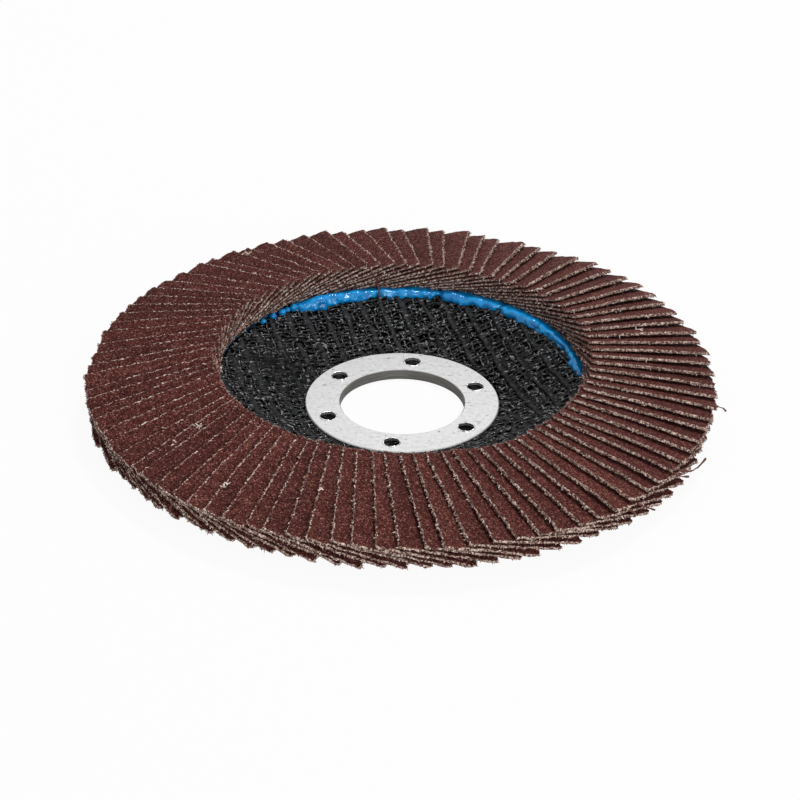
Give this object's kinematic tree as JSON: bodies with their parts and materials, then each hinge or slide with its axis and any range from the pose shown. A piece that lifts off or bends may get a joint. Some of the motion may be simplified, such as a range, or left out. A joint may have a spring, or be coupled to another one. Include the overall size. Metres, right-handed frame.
{
  "type": "flap disc",
  "caption": "Conical abrasive flap disc: overlapping cloth flaps glued on a dished glass-fibre plate with a steel-ringed bore.",
  "frame": {"origin": "on the bore axis in the plane of the hub's back face, which is the lowest face of the disc", "axes": "+Z along the bore axis towards the abrasive side; +X and +Y in the hub's back plane"},
  "size_m": [0.1122, 0.1122, 0.012],
  "materials": {
    "resin_glass_fibre": "black phenolic resin over woven glass fibre, glossy",
    "ring_steel": "pressed zinc-plated steel, dull silver",
    "blue_adhesive": "cured epoxy adhesive, glossy blue",
    "abrasive_cloth": "reddish-brown aluminium-oxide grain on cotton-polyester cloth"
  },
  "bodies": {
    "root": {"backing_plate": "resin_glass_fibre", "centre_ring": "ring_steel", "adhesive": "blue_adhesive", "flap_pair_01": "abrasive_cloth", "flap_pair_02": "abrasive_cloth", "flap_pair_03": "abrasive_cloth", "flap_pair_04": "abrasive_cloth", "flap_pair_05": "abrasive_cloth", "flap_pair_06": "abrasive_cloth", "flap_pair_07": "abrasive_cloth", "flap_pair_08": "abrasive_cloth", "flap_pair_09": "abrasive_cloth", "flap_pair_10": "abrasive_cloth", "flap_pair_11": "abrasive_cloth", "flap_pair_12": "abrasive_cloth", "flap_pair_13": "abrasive_cloth", "flap_pair_14": "abrasive_cloth", "flap_pair_15": "abrasive_cloth", "flap_pair_16": "abrasive_cloth", "flap_pair_17": "abrasive_cloth", "flap_pair_18": "abrasive_cloth", "flap_pair_19": "abrasive_cloth", "flap_pair_20": "abrasive_cloth", "flap_pair_21": "abrasive_cloth", "flap_pair_22": "abrasive_cloth", "flap_pair_23": "abrasive_cloth", "flap_pair_24": "abrasive_cloth", "flap_pair_25": "abrasive_cloth", "flap_pair_26": "abrasive_cloth", "flap_pair_27": "abrasive_cloth", "flap_pair_28": "abrasive_cloth", "flap_pair_29": "abrasive_cloth", "flap_pair_30": "abrasive_cloth", "flap_pair_31": "abrasive_cloth", "flap_pair_32": "abrasive_cloth", "flap_pair_33": "abrasive_cloth", "flap_pair_34": "abrasive_cloth", "flap_pair_35": "abrasive_cloth", "flap_pair_36": "abrasive_cloth", "flap_pair_37": "abrasive_cloth", "flap_pair_38": "abrasive_cloth", "flap_pair_39": "abrasive_cloth", "flap_pair_40": "abrasive_cloth", "flap_pair_41": "abrasive_cloth", "flap_pair_42": "abrasive_cloth", "flap_pair_43": "abrasive_cloth", "flap_pair_44": "abrasive_cloth", "flap_pair_45": "abrasive_cloth"}
  },
  "joints": []
}
